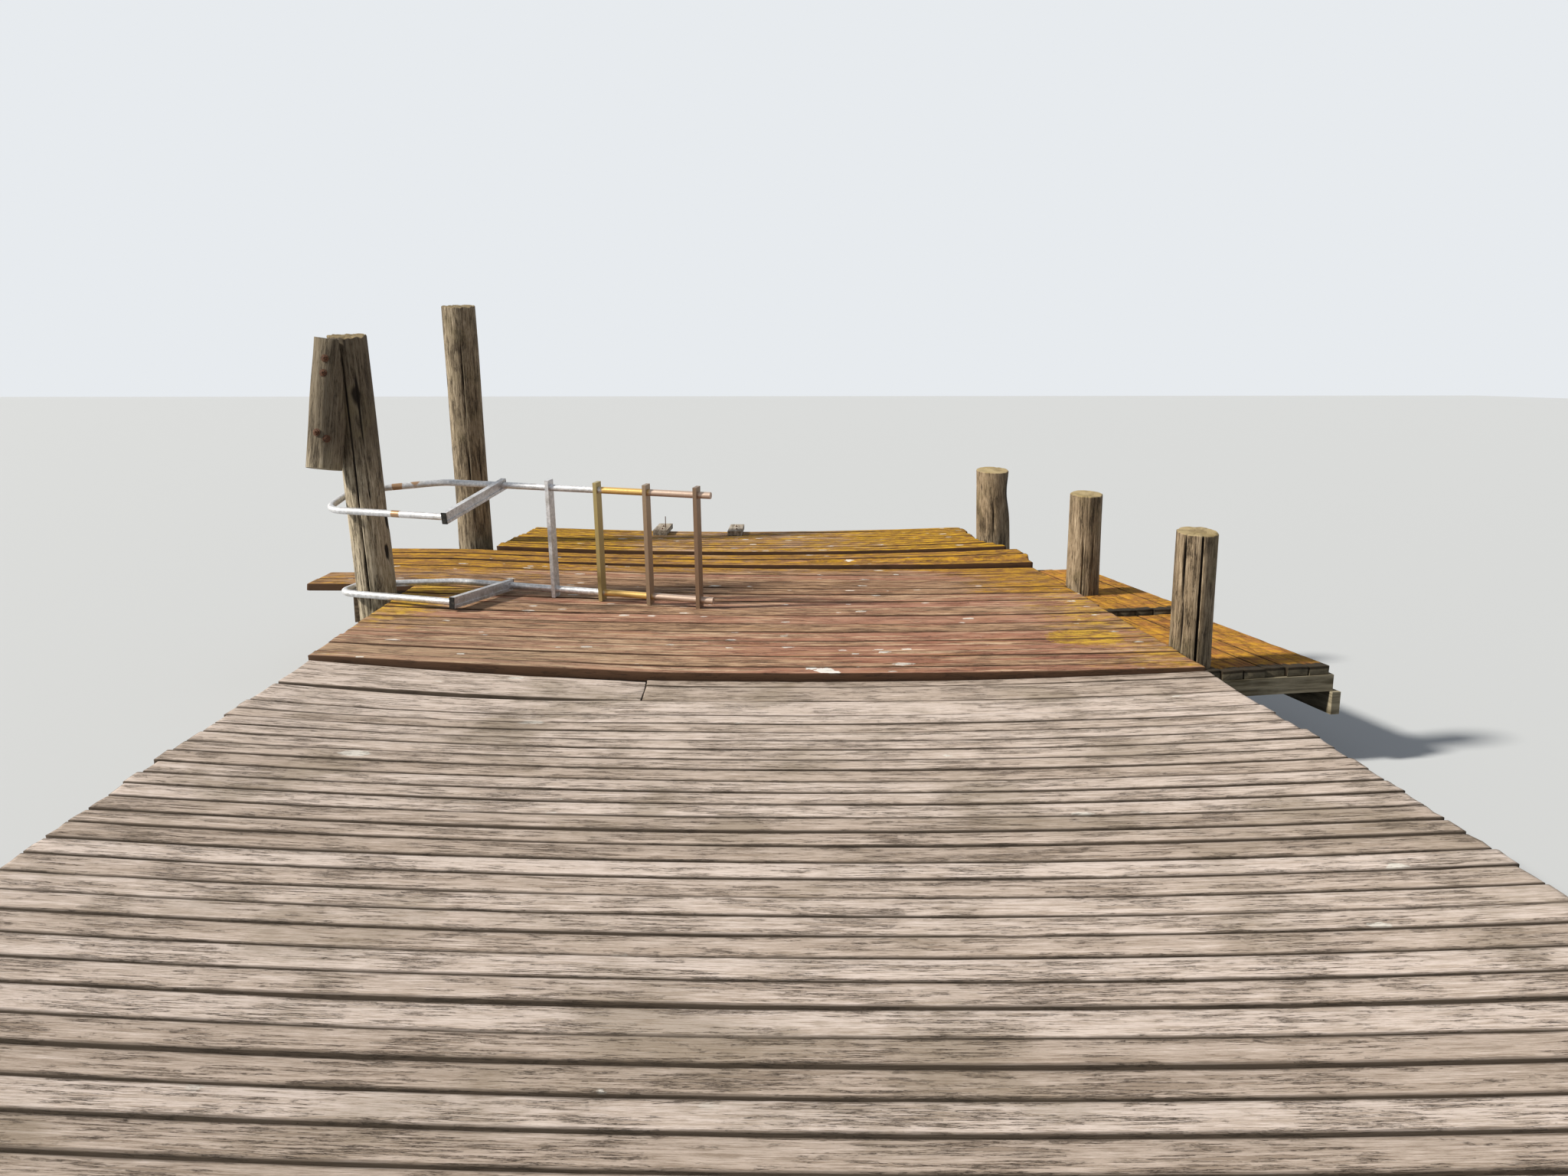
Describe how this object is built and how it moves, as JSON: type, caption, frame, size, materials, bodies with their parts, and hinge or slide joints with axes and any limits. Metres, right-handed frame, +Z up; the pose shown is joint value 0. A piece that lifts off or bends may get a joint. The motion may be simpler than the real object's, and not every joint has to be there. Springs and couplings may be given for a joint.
{
  "type": "wooden jetty with swim ladder",
  "caption": "Lake jetty of boards on piles: sagging deck, T-shaped head, low side wing, round mooring piles and an aluminium swim ladder lying on it.",
  "frame": {"origin": "centre of the middle shore pile's underside, on the level all feet stand on", "axes": "+Y out over the water along the deck, +X to the right seen from the shore, +Z up"},
  "size_m": [5.4777, 8.597, 2.3498],
  "materials": {
    "grey_boards": "weathered silver-grey boards",
    "red_boards": "faded red-brown stain",
    "lichen_boards": "boards overgrown with golden lichen",
    "beams": "dark weathered timber",
    "piles": "grey-brown cracked round timber",
    "ladder_metal": "dull anodised tube, stained",
    "black_plastic": "matt black"
  },
  "bodies": {
    "root": {"landing_decking": "grey_boards", "landing_stringers": "beams", "main_decking": "red_boards", "main_stringers": "beams", "step_strips": "beams", "head_decking": "lichen_boards", "step_planks": "lichen_boards", "platform_decking": "lichen_boards", "head_side_beam": "beams", "platform_stringers": "beams", "shore_header": "beams", "landing_header": "beams", "seam_header": "beams", "middle_header": "beams", "head_header": "beams", "platform_header": "beams", "far_header": "beams", "end_header": "beams", "near_left_pile": "piles", "far_left_pile": "piles", "far_right_pile": "piles", "middle_right_pile": "piles", "near_right_pile": "piles", "shore_left_pile": "piles", "shore_middle_pile": "piles", "shore_right_pile": "piles", "landing_piles": "piles", "seam_piles": "piles", "head_piles": "piles", "end_piles": "piles", "split_log": "piles", "wing_near_decking": "lichen_boards", "wing_far_decking": "lichen_boards", "wing_fascia": "beams", "wing_bearers": "beams", "wing_outer_runner": "beams", "wing_inner_runner": "beams", "wing_piles": "piles", "ladder_lower_rail": "ladder_metal", "ladder_upper_rail": "ladder_metal", "ladder_lower_foot_bar": "ladder_metal", "ladder_upper_foot_bar": "ladder_metal", "ladder_rungs": "ladder_metal", "foot_bar_plugs": "black_plastic", "left_mooring_block": "grey_boards", "right_mooring_block": "grey_boards"}
  },
  "joints": []
}
